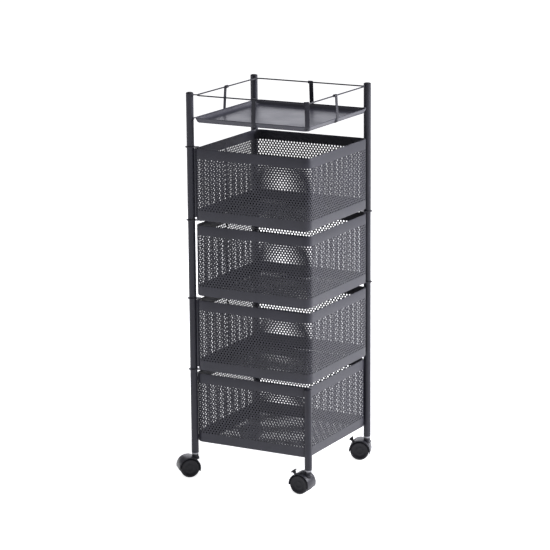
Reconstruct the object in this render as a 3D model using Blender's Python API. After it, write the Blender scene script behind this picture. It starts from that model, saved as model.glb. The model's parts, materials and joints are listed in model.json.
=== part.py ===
"""Rolling pantry cart: a railed tray over four perforated baskets on tube posts and casters.

The four posts stand on a square. Three of them run the full height; the front right one is short
and only holds the bottom basket. The upper three baskets swing out around a post, each on two
eyelet plates that are clamped between the tube lengths of that post.
+Z is up, the front is the -Y side, the floor is z = 0 and the origin is the middle of the footprint.
"""
import math

import bmesh
import bpy
from mathutils import Matrix, Vector

# ---- driving dimensions, metres ----------------------------------------------------------------
POST_SPACING = 0.332
POST_TOP = 1.002
POST_BOTTOM = 0.062
TUBE_RADIUS = 0.0095
TUBE_WALL = 0.0012
SHORT_POST_TOP = 0.273

BASKET_SIZE = 0.329
BASKET_HEIGHT = 0.184
BASKET_CORNER = 0.020
BOTTOM_BASKET_Z = 0.091
LEVEL_PITCH = 0.196
SWING_OFFSET = 0.011
SHEET = 0.0010
HEM = 0.0024
HEM_DEPTH = 0.009

EAR_RADIUS = 0.0135
EAR_THICKNESS = 0.002
EAR_WIDTH = 0.016
EAR_LIFT = 0.0015
EAR_HOLE = 0.0055
STUD_WAIST = 0.0050
STUD_REACH = 0.016

TRAY_FLOOR = 0.930
TRAY_RIM_TOP = 0.942
TRAY_FLARE = 0.005
TRAY_EDGE = 0.0022
RAIL_Z = 0.998
RAIL_RADIUS = 0.0018
RAIL_INSET = 0.0056
STRIP_WIDTH = 0.012
STRIP_THICKNESS = 0.0015
HOOK_RADIUS = 0.0025
CORNER_HOOK_RADIUS = 0.0033

WHEEL_RADIUS = 0.025
WHEEL_WIDTH = 0.017
WHEEL_BORE_DEPTH = 0.014
CASTER_TRAIL = 0.018
WEB_THICKNESS = 0.008
HOOD_INNER = 0.0262
HOOD_OUTER = 0.0284
HOOD_HALF_WIDTH = 0.0215
AXLE_RADIUS = 0.003
PIN_RADIUS = 0.004
PIN_BOTTOM = 0.0488
COLLAR_RADIUS = 0.0085
COLLAR_HEIGHT = 0.0047
BRAKE_PIVOT_DISTANCE = 0.0185
PEG_RADIUS = 0.002
LEVER_HALF_THICKNESS = 0.0018

GAP = 0.0003
RUNNING_GAP = 0.0007
CORNER_STEPS = 4
ROUND_STEPS = 16
WHEEL_STEPS = 24
HOOD_STEPS = 14

HALF_SPACING = POST_SPACING / 2
BORE_RADIUS = TUBE_RADIUS - TUBE_WALL
PLUG_RADIUS = BORE_RADIUS - GAP
CORNERS = {
    "front_left": (-1, -1),
    "front_right": (1, -1),
    "back_right": (1, 1),
    "back_left": (-1, 1),
}
TALL_POSTS = ("front_left", "back_right", "back_left")
SWING_CENTRE = Vector((SWING_OFFSET, -SWING_OFFSET, 0))

# Each swinging basket: its level above the bottom basket, and the post that it turns around.
SWING_BASKETS = {
    "top_basket": (3, "front_left"),
    "second_basket": (2, "back_right"),
    "third_basket": (1, "front_left"),
}

# The heading of each caster as it stands, in degrees about +Z; at 0 the wheels trail towards -X.
CASTER_HEADINGS = {
    "front_left": 43.0,
    "front_right": 0.0,
    "back_right": 20.0,
    "back_left": 8.0,
}
BRAKED_CASTERS = ("front_right", "back_right")


# ---- materials ---------------------------------------------------------------------------------
def make_material(name, colour, roughness, metallic):
    """A plain Principled finish."""
    made = bpy.data.materials.new(name)
    made.use_nodes = True
    shader = made.node_tree.nodes["Principled BSDF"]
    shader.inputs["Base Color"].default_value = (*colour, 1.0)
    shader.inputs["Roughness"].default_value = roughness
    shader.inputs["Metallic"].default_value = metallic
    made.diffuse_color = (*colour, 1.0)
    return made


# ---- mesh helpers ------------------------------------------------------------------------------
def add_empty(name, location, parent=None, turn=0.0):
    """An empty that carries a group of pieces; turn is its rotation about +Z in radians."""
    empty = bpy.data.objects.new(name, None)
    empty.empty_display_size = 0.02
    empty.location = location
    empty.rotation_euler = (0, 0, turn)
    empty.parent = parent
    bpy.context.collection.objects.link(empty)
    return empty


def add_object(name, work, finish, parent, location=(0, 0, 0)):
    """Turn a bmesh into a named object with outward faces and smooth round surfaces."""
    bmesh.ops.recalc_face_normals(work, faces=work.faces)
    mesh = bpy.data.meshes.new(name)
    work.to_mesh(mesh)
    work.free()
    mesh.materials.append(finish)
    mesh.shade_smooth()
    mesh.set_sharp_from_angle(angle=math.radians(35))
    made = bpy.data.objects.new(name, mesh)
    made.location = location
    made.parent = parent
    bpy.context.collection.objects.link(made)
    return made


def skin_rings(rings, joined_ends=False):
    """A closed body over rings of equal length; its ends are capped, or joined to each other."""
    work = bmesh.new()
    loops = [[work.verts.new(point) for point in ring] for ring in rings]
    pairs = list(zip(loops, loops[1:]))
    if joined_ends:
        pairs.append((loops[-1], loops[0]))
    for lower, upper in pairs:
        for index in range(len(lower)):
            following = (index + 1) % len(lower)
            work.faces.new((lower[index], lower[following], upper[following], upper[index]))
    if not joined_ends:
        work.faces.new(loops[0][::-1])
        work.faces.new(loops[-1])
    return work


def rounded_square(half, corner, z, centre=Vector((0, 0, 0))):
    """Points around a square with round corners, anticlockwise."""
    points = []
    for quarter in range(4):
        turn = math.radians(90 * quarter)
        hub = Matrix.Rotation(turn, 3, "Z") @ Vector((half - corner, half - corner, 0))
        for step in range(CORNER_STEPS + 1):
            angle = turn + math.radians(90) * step / CORNER_STEPS
            offset = Vector((math.cos(angle), math.sin(angle), 0)) * corner
            points.append(centre + hub + offset + Vector((0, 0, z)))
    return points


def square_shell(half, corner, profile, centre):
    """A pressed shell: profile lists (inset, z) from the outside bottom, over the rim, to the floor."""
    rings = [rounded_square(half - inset, corner - inset, z, centre) for inset, z in profile]
    return skin_rings(rings)


def turned(profile, steps=ROUND_STEPS, axis="Z"):
    """A turned body. profile lists (radius, height); its ends meet the axis, or join in a ring."""
    work = bmesh.new()
    rings = []
    for radius, height in profile:
        if radius == 0:
            rings.append([work.verts.new((0, 0, height))])
            continue
        ring = []
        for step in range(steps):
            angle = math.tau * step / steps
            ring.append(work.verts.new((radius * math.cos(angle), radius * math.sin(angle), height)))
        rings.append(ring)
    pairs = list(zip(rings, rings[1:]))
    if profile[0][0] and profile[-1][0]:
        pairs.append((rings[-1], rings[0]))
    for lower, upper in pairs:
        for step in range(steps):
            following = (step + 1) % steps
            corners = [lower[step % len(lower)], lower[following % len(lower)]]
            corners += [upper[following % len(upper)], upper[step % len(upper)]]
            if len(lower) == 1:
                corners.pop(1)
            elif len(upper) == 1:
                corners.pop(3)
            work.faces.new(corners)
    if axis == "Y":
        bmesh.ops.rotate(work, verts=work.verts, matrix=Matrix.Rotation(math.radians(-90), 3, "X"))
    return work


def rod(radius, start, end, steps=ROUND_STEPS, axis="Z"):
    """A plain cylinder between two heights on its axis."""
    return turned([(0, end), (radius, end), (radius, start), (0, start)], steps, axis)


def prism(outline, half_width, z_axis=False):
    """An outline extruded both ways: XZ points along Y, or with z_axis XY points along Z."""
    rings = []
    for side in (-half_width, half_width):
        if z_axis:
            rings.append([Vector((u, v, side)) for u, v in outline])
        else:
            rings.append([Vector((u, side, v)) for u, v in outline])
    return skin_rings(rings)


def block(low, high):
    """A box between two corners."""
    outline = [(low[0], low[1]), (high[0], low[1]), (high[0], high[1]), (low[0], high[1])]
    work = prism(outline, (high[2] - low[2]) / 2, z_axis=True)
    bmesh.ops.translate(work, verts=work.verts, vec=(0, 0, (high[2] + low[2]) / 2))
    return work


def combine(target, work, operation):
    """Add a Boolean step to target; the tool object stays hidden beside it."""
    count = len(target.modifiers)
    tool = add_object(f"{target.name}_tool_{count}", work, target.data.materials[0], target.parent)
    tool.location = target.location
    tool.hide_render = True
    tool.display_type = "WIRE"
    step = target.modifiers.new(f"{operation.lower()}_{count}", "BOOLEAN")
    step.operation = operation
    step.solver = "EXACT"
    step.object = tool


def placed(work, matrix):
    """Move a bmesh by a matrix and hand it back."""
    bmesh.ops.transform(work, matrix=matrix, verts=work.verts)
    return work


def arc(centre, radius, start, end, steps):
    """Points on an arc in a plane, angles in degrees."""
    points = []
    for step in range(steps + 1):
        angle = math.radians(start + (end - start) * step / steps)
        points.append((centre[0] + radius * math.cos(angle), centre[1] + radius * math.sin(angle)))
    return points


def ribbon(path, thickness):
    """The outline of a bent strip whose middle line is path."""
    left = []
    right = []
    for index, point in enumerate(path):
        before = Vector(path[max(index - 1, 0)])
        after = Vector(path[min(index + 1, len(path) - 1)])
        along = (after - before).normalized()
        across = Vector((-along.y, along.x)) * thickness / 2
        left.append(tuple(Vector(point) + across))
        right.append(tuple(Vector(point) - across))
    return left + right[::-1]


# ---- places ------------------------------------------------------------------------------------
def post_axis(corner):
    """The middle line of a post, at floor level."""
    side_x, side_y = CORNERS[corner]
    return Vector((side_x * HALF_SPACING, side_y * HALF_SPACING, 0))


def basket_bottom(level):
    """The underside of the basket on a level, counted up from the bottom basket."""
    return BOTTOM_BASKET_Z + level * LEVEL_PITCH


def lower_ear_z(level):
    """The middle height of the eyelet plate under a basket."""
    return basket_bottom(level) - GAP - EAR_THICKNESS / 2


def upper_ear_z(level):
    """The middle height of the eyelet plate over a basket's rim."""
    return basket_bottom(level) + BASKET_HEIGHT + EAR_LIFT + EAR_THICKNESS / 2


def reach_to_post(corner, half, corner_radius, centre):
    """The hub of a round corner, the direction from it to the post, and the way to the tube."""
    side_x, side_y = CORNERS[corner]
    hub = centre + Vector((side_x, side_y, 0)) * (half - corner_radius)
    away = post_axis(corner) - hub
    return hub, away.normalized(), away.length - TUBE_RADIUS - GAP


def facing(origin, direction):
    """A frame at origin whose +X looks along a level direction."""
    turn = math.atan2(direction.y, direction.x)
    return Matrix.Translation(origin) @ Matrix.Rotation(turn, 4, "Z")


# ---- posts -------------------------------------------------------------------------------------
def build_post(corner, joints, frame, paint, steel, plastic):
    """A tall post: tube lengths, a stud inside each joint, and a domed cap."""
    axis = post_axis(corner)
    ends = [POST_BOTTOM]
    for height, has_ear in joints:
        clearance = EAR_THICKNESS / 2 + GAP if has_ear else GAP / 2
        ends += [height - clearance, height + clearance]
    ends.append(POST_TOP)
    for index in range(len(ends) // 2):
        low = ends[2 * index]
        high = ends[2 * index + 1]
        profile = [(TUBE_RADIUS, low), (TUBE_RADIUS, high), (BORE_RADIUS, high), (BORE_RADIUS, low)]
        add_object(f"{corner}_post_tube_{index + 1}", turned(profile), paint, frame, axis)
    for index, (height, has_ear) in enumerate(joints):
        top = height + STUD_REACH
        bottom = height - STUD_REACH
        profile = [(0, top), (PLUG_RADIUS, top)]
        if has_ear:
            shoulder = EAR_THICKNESS / 2 + GAP
            profile += [(PLUG_RADIUS, height + shoulder), (STUD_WAIST, height + shoulder)]
            profile += [(STUD_WAIST, height - shoulder), (PLUG_RADIUS, height - shoulder)]
        profile += [(PLUG_RADIUS, bottom), (0, bottom)]
        add_object(f"{corner}_joint_stud_{index + 1}", turned(profile), steel, frame, axis)
    build_cap(corner, frame, plastic)


def build_cap(corner, frame, plastic):
    """A domed plug in the top of a tube."""
    dome = 0.003
    plug = 0.010
    profile = [(0, POST_TOP + GAP + dome)]
    for degrees in (30, 60):
        angle = math.radians(degrees)
        profile.append((TUBE_RADIUS * math.sin(angle), POST_TOP + GAP + dome * math.cos(angle)))
    profile += [(TUBE_RADIUS, POST_TOP + GAP), (PLUG_RADIUS, POST_TOP + GAP)]
    profile += [(PLUG_RADIUS, POST_TOP - plug), (0, POST_TOP - plug)]
    add_object(f"{corner}_post_cap", turned(profile), plastic, frame, post_axis(corner))


def build_short_post(frame, paint):
    """The front right tube, closed at its top, beside the bottom basket."""
    crown = 0.0015
    roof = 2 * TUBE_WALL
    profile = [
        (0, SHORT_POST_TOP),
        (TUBE_RADIUS - crown, SHORT_POST_TOP),
        (TUBE_RADIUS, SHORT_POST_TOP - crown),
        (TUBE_RADIUS, POST_BOTTOM),
        (BORE_RADIUS, POST_BOTTOM),
        (BORE_RADIUS, SHORT_POST_TOP - roof),
        (0, SHORT_POST_TOP - roof),
    ]
    add_object("front_right_post_tube", turned(profile), paint, frame, post_axis("front_right"))


# ---- baskets -----------------------------------------------------------------------------------
def basket_profile(bottom):
    """The section of a basket wall: outside, hem, inside and floor."""
    top = bottom + BASKET_HEIGHT
    bend = 0.004
    return [
        (bend, bottom),
        (0, bottom + bend),
        (0, top),
        (HEM, top),
        (HEM, top - HEM_DEPTH),
        (SHEET, top - HEM_DEPTH),
        (SHEET, bottom + bend),
        (bend, bottom + SHEET),
    ]


def build_bottom_basket(frame, paint):
    """The fixed basket between the four posts, with two weld pads at each of them."""
    half = BASKET_SIZE / 2
    centre = Vector((0, 0, 0))
    bottom = basket_bottom(0)
    shell = square_shell(half, BASKET_CORNER, basket_profile(bottom), centre)
    basket = add_object("bottom_basket", shell, paint, frame)
    pad_half_width = 0.004
    pad_height = 0.010
    for corner in CORNERS:
        hub, away, reach = reach_to_post(corner, half, BASKET_CORNER, centre)
        for low in (bottom + 0.008, bottom + BASKET_HEIGHT - 0.020):
            start = (BASKET_CORNER - SHEET * 0.7, -pad_half_width, low)
            pad = block(start, (reach, pad_half_width, low + pad_height))
            # The pad's flat end stops just short of the tube's crown.
            combine(basket, placed(pad, facing(hub, away)), "UNION")


def build_swing_basket(name, level, corner, frame, paint, steel):
    """A basket on a post, with its two eyelet plates; all turn on the post's middle line."""
    axis = post_axis(corner)
    pivot = add_empty(f"{name}_pivot", axis, frame)
    half = BASKET_SIZE / 2
    centre = SWING_CENTRE - axis
    shell = square_shell(half, BASKET_CORNER, basket_profile(basket_bottom(level)), centre)
    basket = add_object(name, shell, paint, pivot)

    hub, away, reach = reach_to_post(corner, half, BASKET_CORNER, SWING_CENTRE)
    bottom = basket_bottom(level)
    strap_half_width = 0.005
    strap = block(
        (BASKET_CORNER - SHEET * 0.7, -strap_half_width, bottom + 0.006),
        (reach, strap_half_width, bottom + BASKET_HEIGHT - 0.001),
    )
    # The upright strap fills the corner of the wall up to the tube that the basket turns around.
    combine(basket, placed(strap, facing(hub - axis, away)), "UNION")
    wall = (post_axis(corner) - hub).length - BASKET_CORNER
    inward = facing(Vector((0, 0, 0)), -away)
    half_chord = EAR_WIDTH / 2
    inner_curve = BASKET_CORNER - HEM
    sagitta = inner_curve - math.sqrt(inner_curve ** 2 - half_chord ** 2)
    flange = wall + HEM + sagitta + GAP
    flange_drop = 0.018

    z = upper_ear_z(level)
    upper = build_eyelet(f"{name}_upper_eyelet", z, flange + EAR_THICKNESS, inward, pivot, steel)
    skirt = block(
        (flange, -half_chord, z - flange_drop),
        (flange + EAR_THICKNESS, half_chord, z),
    )
    combine(upper, placed(skirt, inward), "UNION")
    tongue = 0.034
    build_eyelet(f"{name}_lower_eyelet", lower_ear_z(level), tongue, inward, pivot, steel)


def build_eyelet(name, z, reach, inward, pivot, steel):
    """A round eye around the post with a straight tongue towards the basket."""
    half_width = EAR_WIDTH / 2
    meet = math.degrees(math.asin(half_width / EAR_RADIUS))
    outline = [(reach, -half_width), (reach, half_width)]
    outline += arc((0, 0), EAR_RADIUS, meet, 360 - meet, 14)
    work = prism(outline, EAR_THICKNESS / 2, z_axis=True)
    bmesh.ops.translate(work, verts=work.verts, vec=(0, 0, z))
    plate = add_object(name, placed(work, inward), steel, pivot)
    combine(plate, rod(EAR_HOLE, z - EAR_THICKNESS, z + EAR_THICKNESS), "DIFFERENCE")
    return plate


# ---- tray and rail -----------------------------------------------------------------------------
def build_tray(frame, paint):
    """The shallow tray: a floor, a rim that flares outwards, and a lug to each tall post."""
    half = BASKET_SIZE / 2
    rim = TRAY_EDGE
    profile = [
        (TRAY_FLARE + 0.002, TRAY_FLOOR - SHEET),
        (TRAY_FLARE, TRAY_FLOOR),
        (0, TRAY_RIM_TOP - rim),
        (0, TRAY_RIM_TOP - rim / 3),
        (rim / 2, TRAY_RIM_TOP),
        (rim, TRAY_RIM_TOP - rim / 3),
        (TRAY_FLARE + SHEET, TRAY_FLOOR + SHEET),
        (TRAY_FLARE + 3 * SHEET, TRAY_FLOOR),
    ]
    tray = add_object("tray", square_shell(half, BASKET_CORNER, profile, SWING_CENTRE), paint, frame)
    lug_half_width = 0.005
    lug_top = TRAY_RIM_TOP - 0.001
    lug_depth = 0.002
    for corner in TALL_POSTS:
        hub, away, reach = reach_to_post(corner, half, BASKET_CORNER, SWING_CENTRE)
        start = (BASKET_CORNER - rim * 0.7, -lug_half_width, lug_top - lug_depth)
        lug = block(start, (reach, lug_half_width, lug_top))
        combine(tray, placed(lug, facing(hub, away)), "UNION")


def build_rail(frame, paint):
    """The wire loop over the tray, with a short stub to each tall post."""
    sides = 8
    half = BASKET_SIZE / 2 - RAIL_INSET
    corner_radius = BASKET_CORNER - RAIL_INSET
    path = rounded_square(half, corner_radius, RAIL_Z, SWING_CENTRE)
    rings = []
    for index, point in enumerate(path):
        along = (path[(index + 1) % len(path)] - path[index - 1]).normalized()
        outward = along.cross(Vector((0, 0, 1)))
        ring = []
        for step in range(sides):
            angle = math.tau * step / sides
            upward = Vector((0, 0, math.sin(angle)))
            ring.append(point + RAIL_RADIUS * (outward * math.cos(angle) + upward))
        rings.append(ring)
    rail = add_object("tray_rail", skin_rings(rings, joined_ends=True), paint, frame)
    for corner in TALL_POSTS:
        hub, away, reach = reach_to_post(corner, half, corner_radius, SWING_CENTRE)
        hub = hub + Vector((0, 0, RAIL_Z))
        stub = rod(RAIL_RADIUS * 0.85, corner_radius, reach, sides)
        lie_down = Matrix.Rotation(math.radians(90), 4, "Y")
        combine(rail, placed(stub, facing(hub, away) @ lie_down), "UNION")


def strip_outline(hook_radius):
    """The side view of a strip: up the rim's flare, leaning in, and round the rail in a hook."""
    middle = GAP + STRIP_THICKNESS / 2
    hook_line = hook_radius + STRIP_THICKNESS / 2
    path = [(middle - TRAY_FLARE, TRAY_FLOOR), (middle, TRAY_RIM_TOP - TRAY_EDGE)]
    path.append((middle, TRAY_RIM_TOP + 0.001))
    # All strips have the same slope, so a wider hook has its middle further in than the rail.
    hook_centre = HOOK_RADIUS - hook_radius - RAIL_INSET
    path += arc((hook_centre, RAIL_Z), hook_line, 3, 250, 12)
    return ribbon(path, STRIP_THICKNESS)


def build_rail_strips(frame, paint):
    """Upright strips from the tray's rim to the rail: one at each side and one at the free corner."""
    half = BASKET_SIZE / 2
    corner_out = (half - BASKET_CORNER) * math.sqrt(2) + BASKET_CORNER
    # The rail bends inside the corner hook, so that hook is wider.
    places = {
        "front_rail_strip": (-90, half, SWING_OFFSET, HOOK_RADIUS),
        "right_rail_strip": (0, half, -SWING_OFFSET, HOOK_RADIUS),
        "back_rail_strip": (90, half, 0, HOOK_RADIUS),
        "left_rail_strip": (180, half, 0, HOOK_RADIUS),
        "corner_rail_strip": (-45, corner_out, 0, CORNER_HOOK_RADIUS),
    }
    for name, (heading, distance, along, hook_radius) in places.items():
        turn = Matrix.Rotation(math.radians(heading), 4, "Z")
        shift = Matrix.Translation((distance, along, 0))
        strip = prism(strip_outline(hook_radius), STRIP_WIDTH / 2)
        place = Matrix.Translation(SWING_CENTRE) @ turn @ shift
        add_object(name, placed(strip, place), paint, frame)


# ---- casters -----------------------------------------------------------------------------------
def build_caster(corner, frame, finishes):
    """A twin-wheel caster under a post: stem, hood, axle, two wheels and, on two of them, a brake."""
    axis = post_axis(corner)
    turn = math.radians(CASTER_HEADINGS[corner])
    build_stem(corner, axis, frame, finishes["zinc"])
    swivel = add_empty(f"{corner}_caster_swivel", axis, frame, turn)
    braked = corner in BRAKED_CASTERS
    build_hood(corner, swivel, finishes["hood"], braked)
    axle_end = WEB_THICKNESS / 2 + RUNNING_GAP + WHEEL_BORE_DEPTH - 0.0005
    axle_place = (-CASTER_TRAIL, 0, WHEEL_RADIUS)
    axle = rod(AXLE_RADIUS, -axle_end, axle_end, axis="Y")
    add_object(f"{corner}_caster_axle", axle, finishes["zinc"], swivel, axle_place)
    for side, name in ((-1, "outer"), (1, "inner")):
        wheel = build_wheel(side)
        add_object(f"{corner}_{name}_wheel", wheel, finishes["wheel"], swivel, axle_place)
    if braked:
        build_brake_lever(corner, swivel, finishes["lever"])


def build_stem(corner, axis, frame, zinc):
    """The fixed stem: a plug inside the tube, a collar under it, and the swivel pin."""
    plug_top = POST_BOTTOM + 0.024
    collar_top = POST_BOTTOM - GAP
    collar_bottom = POST_BOTTOM - COLLAR_HEIGHT
    profile = [
        (0, plug_top),
        (PLUG_RADIUS, plug_top),
        (PLUG_RADIUS, collar_top),
        (COLLAR_RADIUS, collar_top),
        (COLLAR_RADIUS, collar_bottom),
        (PIN_RADIUS, collar_bottom),
        (PIN_RADIUS, PIN_BOTTOM),
        (0, PIN_BOTTOM),
    ]
    add_object(f"{corner}_caster_stem", turned(profile), zinc, frame, axis)


def build_hood(corner, swivel, plastic, braked):
    """The swivelling hood: an arched cover over both wheels, a middle web and a boss."""
    hub = (-CASTER_TRAIL, WHEEL_RADIUS)
    front_angle = -20
    rear_angle = 186
    cover = arc(hub, HOOD_OUTER, front_angle, rear_angle, HOOD_STEPS)
    cover += arc(hub, HOOD_INNER, rear_angle, front_angle, HOOD_STEPS)
    hood = add_object(f"{corner}_caster_hood", prism(cover, HOOD_HALF_WIDTH), plastic, swivel)

    web_radius = (HOOD_OUTER + HOOD_INNER) / 2
    web_low = WHEEL_RADIUS - 0.007
    drop = math.degrees(math.asin((WHEEL_RADIUS - web_low) / web_radius))
    web = prism(arc(hub, web_radius, -drop, 180 + drop, HOOD_STEPS), WEB_THICKNESS / 2)
    combine(hood, web, "UNION")

    boss_top = POST_BOTTOM - COLLAR_HEIGHT - GAP
    boss_foot = PIN_BOTTOM - 0.0043
    combine(hood, rod(COLLAR_RADIUS, boss_foot, boss_top), "UNION")
    at_axle = Matrix.Translation((-CASTER_TRAIL, 0, WHEEL_RADIUS))
    for side in (-1, 1):
        # Both wheels keep their room under the boss.
        near = side * WEB_THICKNESS / 2
        far = side * (HOOD_HALF_WIDTH - 0.001)
        room = rod(WHEEL_RADIUS + RUNNING_GAP, near, far, 2 * HOOD_STEPS, "Y")
        combine(hood, placed(room, at_axle), "DIFFERENCE")

    combine(hood, rod(PIN_RADIUS + GAP, PIN_BOTTOM - GAP, boss_top + 0.010), "DIFFERENCE")
    axle_bore = rod(AXLE_RADIUS + GAP, -0.75 * WEB_THICKNESS, 0.75 * WEB_THICKNESS, axis="Y")
    combine(hood, placed(axle_bore, at_axle), "DIFFERENCE")
    if braked:
        cut_brake_slot(hood, hub)


def brake_pivot():
    """The brake lever's pivot in the swivel's XZ plane."""
    angle = math.radians(135)
    pivot_x = -CASTER_TRAIL + BRAKE_PIVOT_DISTANCE * math.cos(angle)
    pivot_z = WHEEL_RADIUS + BRAKE_PIVOT_DISTANCE * math.sin(angle)
    return pivot_x, pivot_z


def cut_brake_slot(hood, hub):
    """A slot through the web and the cover for the lever, and the peg that it turns on."""
    slot_depth = 0.0095
    slot_reach = HOOD_OUTER + 0.0056
    sector = arc(hub, slot_reach, 116, 160, 8)
    sector += arc(hub, slot_depth, 172, 102, 6)
    combine(hood, prism(sector, LEVER_HALF_THICKNESS + 2 * GAP), "DIFFERENCE")
    peg_end = WEB_THICKNESS / 2 - 0.0005
    peg = rod(PEG_RADIUS, -peg_end, peg_end, 12, "Y")
    pivot_x, pivot_z = brake_pivot()
    combine(hood, placed(peg, Matrix.Translation((pivot_x, 0, pivot_z))), "UNION")


def build_brake_lever(corner, swivel, finish):
    """A foot lever on the peg: an eye, an arm out of the slot, and a wide pad on its end."""
    pivot_x, pivot_z = brake_pivot()
    eye_radius = 0.0052
    arm_half = 0.0026
    arm_length = 0.0205
    meet = math.degrees(math.asin(arm_half / eye_radius))
    lean = Matrix.Rotation(math.radians(-128), 4, "Y")
    outline = [(arm_length, -arm_half), (arm_length, arm_half)]
    outline += arc((0, 0), eye_radius, meet, 360 - meet, 14)
    place = (pivot_x, 0, pivot_z)
    arm = placed(prism(outline, LEVER_HALF_THICKNESS), lean)
    lever = add_object(f"{corner}_brake_lever", arm, finish, swivel, place)
    pad_half_width = 0.006
    pad_thickness = 0.0024
    pad_low = (arm_length - pad_thickness, -pad_half_width, -0.0055)
    pad_high = (arm_length, pad_half_width, 0.0035)
    combine(lever, placed(block(pad_low, pad_high), lean), "UNION")
    hole_end = 2 * LEVER_HALF_THICKNESS
    combine(lever, rod(PEG_RADIUS + 0.0004, -hole_end, hole_end, axis="Y"), "DIFFERENCE")


def build_wheel(side):
    """One wheel on the axle's side (-1 or +1), turned about Y around the axle's middle."""
    inner = WEB_THICKNESS / 2 + RUNNING_GAP
    outer = inner + WHEEL_WIDTH
    bore = AXLE_RADIUS + GAP
    radius = WHEEL_RADIUS
    blind_end = inner + WHEEL_BORE_DEPTH
    profile = [
        (0, outer - 0.0010),
        (radius - 0.0048, outer - 0.0010),
        (radius - 0.0036, outer),
        (radius - 0.0016, outer - 0.0006),
        (radius, outer - 0.0030),
        (radius, inner + 0.0015),
        (radius - 0.0012, inner),
        (bore, inner),
        (bore, blind_end),
        (0, blind_end),
    ]
    return turned([(r, side * height) for r, height in profile], WHEEL_STEPS, "Y")


# ---- the whole cart ----------------------------------------------------------------------------
def centre_on_footprint(frame):
    """Slide the cart until the origin is in the middle of its footprint."""
    bpy.context.view_layer.update()
    graph = bpy.context.evaluated_depsgraph_get()
    points = []
    for item in bpy.context.scene.objects:
        if item.type == "EMPTY" or item.hide_render:
            continue
        shape = item.evaluated_get(graph)
        points += [item.matrix_world @ vertex.co for vertex in shape.data.vertices]
    for axis in (0, 1):
        values = [point[axis] for point in points]
        frame.location[axis] = -(min(values) + max(values)) / 2
    bpy.context.view_layer.update()


def main():
    for item in list(bpy.data.objects):
        bpy.data.objects.remove(item, do_unlink=True)
    paint = make_material("charcoal_powder_coat", (0.060, 0.062, 0.072), 0.42, 0.35)
    basket_paint = make_material("basket_powder_coat", (0.055, 0.058, 0.068), 0.40, 0.35)
    tray_paint = make_material("tray_powder_coat", (0.085, 0.087, 0.098), 0.38, 0.35)
    wire_paint = make_material("rail_powder_coat", (0.055, 0.056, 0.063), 0.42, 0.35)
    steel = make_material("eyelet_steel", (0.060, 0.062, 0.070), 0.45, 0.60)
    stud_steel = make_material("stud_steel", (0.45, 0.45, 0.46), 0.35, 1.0)
    cap_plastic = make_material("cap_plastic", (0.030, 0.030, 0.033), 0.50, 0.0)
    finishes = {
        "zinc": make_material("zinc_plate", (0.55, 0.55, 0.56), 0.35, 1.0),
        "hood": make_material("caster_nylon", (0.050, 0.050, 0.058), 0.38, 0.0),
        "wheel": make_material("wheel_nylon", (0.030, 0.030, 0.034), 0.45, 0.0),
        "lever": make_material("lever_nylon", (0.020, 0.020, 0.022), 0.40, 0.0),
    }

    frame = add_empty("cart_frame", (0, 0, 0))
    left_joints = []
    right_joints = []
    for level, corner in reversed(SWING_BASKETS.values()):
        joints = left_joints if corner == "front_left" else right_joints
        joints += [(lower_ear_z(level), True), (upper_ear_z(level), True)]
    back_joints = [(lower_ear_z(2), False)]
    build_post("front_left", left_joints, frame, paint, stud_steel, cap_plastic)
    build_post("back_right", right_joints, frame, paint, stud_steel, cap_plastic)
    build_post("back_left", back_joints, frame, paint, stud_steel, cap_plastic)
    build_short_post(frame, paint)
    build_bottom_basket(frame, basket_paint)
    for name, (level, corner) in SWING_BASKETS.items():
        build_swing_basket(name, level, corner, frame, basket_paint, steel)
    build_tray(frame, tray_paint)
    build_rail(frame, wire_paint)
    build_rail_strips(frame, wire_paint)
    for corner in CORNERS:
        build_caster(corner, frame, finishes)
    centre_on_footprint(frame)


main()
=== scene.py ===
"""Looks of the rolling pantry cart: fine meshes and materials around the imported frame."""
import json
import math

import bmesh
import bpy
import numpy as np
from mathutils import Matrix, Vector


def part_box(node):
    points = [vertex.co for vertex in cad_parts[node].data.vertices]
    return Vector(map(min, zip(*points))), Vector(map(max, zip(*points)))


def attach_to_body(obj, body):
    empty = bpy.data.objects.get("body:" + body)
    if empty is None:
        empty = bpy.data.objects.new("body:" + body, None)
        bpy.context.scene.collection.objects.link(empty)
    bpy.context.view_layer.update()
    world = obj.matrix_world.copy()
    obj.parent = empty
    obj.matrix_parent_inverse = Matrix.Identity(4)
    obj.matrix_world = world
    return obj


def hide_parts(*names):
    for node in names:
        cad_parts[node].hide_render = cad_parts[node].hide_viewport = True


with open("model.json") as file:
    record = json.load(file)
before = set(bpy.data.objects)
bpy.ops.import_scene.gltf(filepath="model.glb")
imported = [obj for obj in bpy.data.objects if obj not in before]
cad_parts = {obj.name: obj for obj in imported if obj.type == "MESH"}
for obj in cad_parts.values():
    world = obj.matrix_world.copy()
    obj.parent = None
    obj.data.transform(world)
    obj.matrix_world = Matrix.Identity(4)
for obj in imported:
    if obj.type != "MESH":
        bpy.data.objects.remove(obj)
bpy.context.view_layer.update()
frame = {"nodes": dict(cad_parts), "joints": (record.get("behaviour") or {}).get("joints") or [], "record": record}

UP = Vector((0, 0, 1))
CORNERS = ("front_left", "front_right", "back_right", "back_left")
TALL_POSTS = ("front_left", "back_right", "back_left")
TUBE_COUNT = {"front_left": 5, "back_right": 3, "back_left": 2}
SWING_CORNER = {"top_basket": "front_left", "second_basket": "back_right", "third_basket": "front_left"}

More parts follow.
